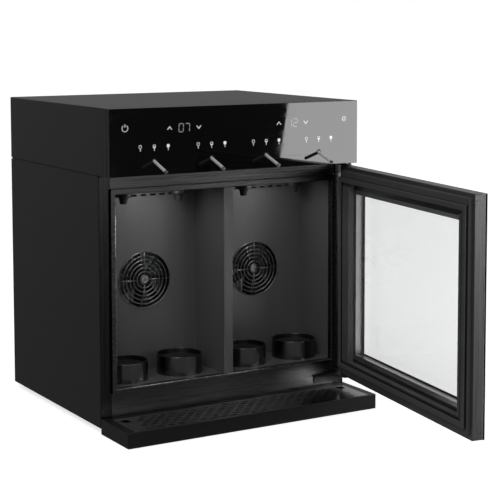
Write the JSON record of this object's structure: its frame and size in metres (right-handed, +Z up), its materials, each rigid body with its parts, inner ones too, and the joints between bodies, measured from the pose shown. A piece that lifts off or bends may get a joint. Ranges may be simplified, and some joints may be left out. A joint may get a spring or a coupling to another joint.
{
  "type": "countertop wine cooler and dispenser",
  "caption": "Countertop wine cooler and dispenser: glass door, divided cold room with sprung bottle lifters, pouring tubes under a black glass control panel, and a slatted drip tray.",
  "frame": {"origin": "on the counter top, under the middle of the cabinet", "axes": "+X to the right as seen from the front, +Y to the back, +Z up; the door is stored open at 81.5 degrees"},
  "size_m": [0.5452, 0.9758, 0.606],
  "materials": {
    "side_paint": "satin",
    "top_paint": "satin",
    "rear_paint": "matte",
    "bracket_paint": "satin",
    "foot_rubber": "matte",
    "front_steel": "satin",
    "stile_steel": "satin",
    "foam": "matte",
    "liner_steel": "satin",
    "guard_wire": "polished",
    "fan_plastic": "matte",
    "cold_aluminium": "satin",
    "cup_steel": "satin",
    "platform_plastic": "matte",
    "spring_wire": "polished",
    "head_plastic": "matte",
    "seal_rubber": "matte",
    "led_cover": "satin",
    "bezel_plastic": "satin",
    "black_glass": "gloss",
    "board_green": "satin",
    "tube_steel": "satin",
    "valve_brass": "satin",
    "regulator_metal": "satin",
    "supply_case": "satin",
    "inlet_plastic": "satin",
    "rocker_plastic": "satin",
    "compressor_paint": "gloss",
    "door_steel": "satin",
    "door_plastic": "satin",
    "gasket_rubber": "matte",
    "door_glass": "gloss",
    "spacer_metal": "satin",
    "bush_nylon": "satin",
    "pin_steel": "polished",
    "tray_plastic": "satin",
    "grille_steel": "satin"
  },
  "bodies": {
    "cabinet": {"base_pan": "rear_paint", "bottle_seals": "seal_rubber", "compressor": "compressor_paint", "condenser": "cold_aluminium", "condenser_fan_frame": "fan_plastic", "control_board": "board_green", "deck_plate": "rear_paint", "dispense_heads": "head_plastic", "dispense_valves": "valve_brass", "dispensing_tubes": "tube_steel", "divider": "liner_steel", "evaporators": "cold_aluminium", "fan_frames": "fan_plastic", "fan_guards": "guard_wire", "feet": "foot_rubber", "front_bezel": "bezel_plastic", "front_rails": "front_steel", "front_stiles": "stile_steel", "gas_inlet_fitting": "valve_brass", "gas_regulator": "regulator_metal", "glass_panel": "black_glass", "hinge_brackets": "bracket_paint", "hinge_pins": "pin_steel", "housing_rear_cover": "rear_paint", "led_strips": "led_cover", "lifter_cups": "cup_steel", "liner_back": "liner_steel", "liner_floor": "liner_steel", "liner_panels": "liner_steel", "opening_lip": "front_steel", "power_inlet": "inlet_plastic", "power_supply": "supply_case", "rear_cover": "rear_paint", "screws": "pin_steel", "side_panel_left": "side_paint", "side_panel_right": "side_paint", "top_cover": "top_paint", "touch_board": "board_green", "wall_insulation": "foam"},
    "door": {"door_frame": "door_steel", "door_inner_frame": "door_plastic", "door_gasket": "gasket_rubber", "door_glass_outer": "door_glass", "door_glass_inner": "door_glass", "glass_spacer": "spacer_metal", "hinge_bushes": "bush_nylon"},
    "drip_tray": {"tray_body": "tray_plastic"},
    "grille": {"tray_grille": "grille_steel"},
    "fan_left": {"fan_rotor_left": "fan_plastic"},
    "fan_right": {"fan_rotor_right": "fan_plastic"},
    "condenser_fan": {"condenser_fan_rotor": "fan_plastic"},
    "power_switch": {"switch_rocker": "rocker_plastic"},
    "lifter_1": {"lifter_platform_1": "platform_plastic", "lifter_spring_1": "spring_wire"},
    "lifter_2": {"lifter_platform_2": "platform_plastic", "lifter_spring_2": "spring_wire"},
    "lifter_3": {"lifter_platform_3": "platform_plastic", "lifter_spring_3": "spring_wire"},
    "lifter_4": {"lifter_platform_4": "platform_plastic", "lifter_spring_4": "spring_wire"}
  },
  "joints": [
    {"name": "door_swing", "type": "hinge", "parent": "cabinet", "child": "door", "pos_m": [0.257, -0.216, 0.2635], "axis": [0, 0, 1], "range_deg": [-81.5, 23.5]},
    {"name": "tray_slide", "type": "slide", "parent": "cabinet", "child": "drip_tray", "axis": [0, -1, 0], "range_m": [0, 0.1]},
    {"name": "grille_lift", "type": "slide", "parent": "drip_tray", "child": "grille", "axis": [0, 0, 1], "range_m": [0, 0.013]},
    {"name": "lifter_1_drop", "type": "slide", "parent": "cabinet", "child": "lifter_1", "axis": [0, 0, -1], "range_m": [0, 0.02], "stiffness_N_per_m": 600, "springref_m": -0.04, "deforming": ["lifter_spring_1"]},
    {"name": "lifter_2_drop", "type": "slide", "parent": "cabinet", "child": "lifter_2", "axis": [0, 0, -1], "range_m": [0, 0.02], "stiffness_N_per_m": 600, "springref_m": -0.04, "deforming": ["lifter_spring_2"]},
    {"name": "lifter_3_drop", "type": "slide", "parent": "cabinet", "child": "lifter_3", "axis": [0, 0, -1], "range_m": [0, 0.02], "stiffness_N_per_m": 600, "springref_m": -0.04, "deforming": ["lifter_spring_3"]},
    {"name": "lifter_4_drop", "type": "slide", "parent": "cabinet", "child": "lifter_4", "axis": [0, 0, -1], "range_m": [0, 0.02], "stiffness_N_per_m": 600, "springref_m": -0.04, "deforming": ["lifter_spring_4"]},
    {"name": "fan_left_spin", "type": "hinge", "parent": "cabinet", "child": "fan_left", "pos_m": [-0.124, -0.068, 0.26], "axis": [0, 1, 0], "continuous": true},
    {"name": "fan_right_spin", "type": "hinge", "parent": "cabinet", "child": "fan_right", "pos_m": [0.124, -0.068, 0.26], "axis": [0, 1, 0], "continuous": true},
    {"name": "condenser_fan_spin", "type": "hinge", "parent": "cabinet", "child": "condenser_fan", "pos_m": [0.13, 0.192, 0.138], "axis": [0, 1, 0], "continuous": true},
    {"name": "switch_rock", "type": "hinge", "parent": "cabinet", "child": "power_switch", "pos_m": [-0.2, 0.233, 0.1045], "axis": [1, 0, 0], "range_deg": [-14, 0]}
  ]
}
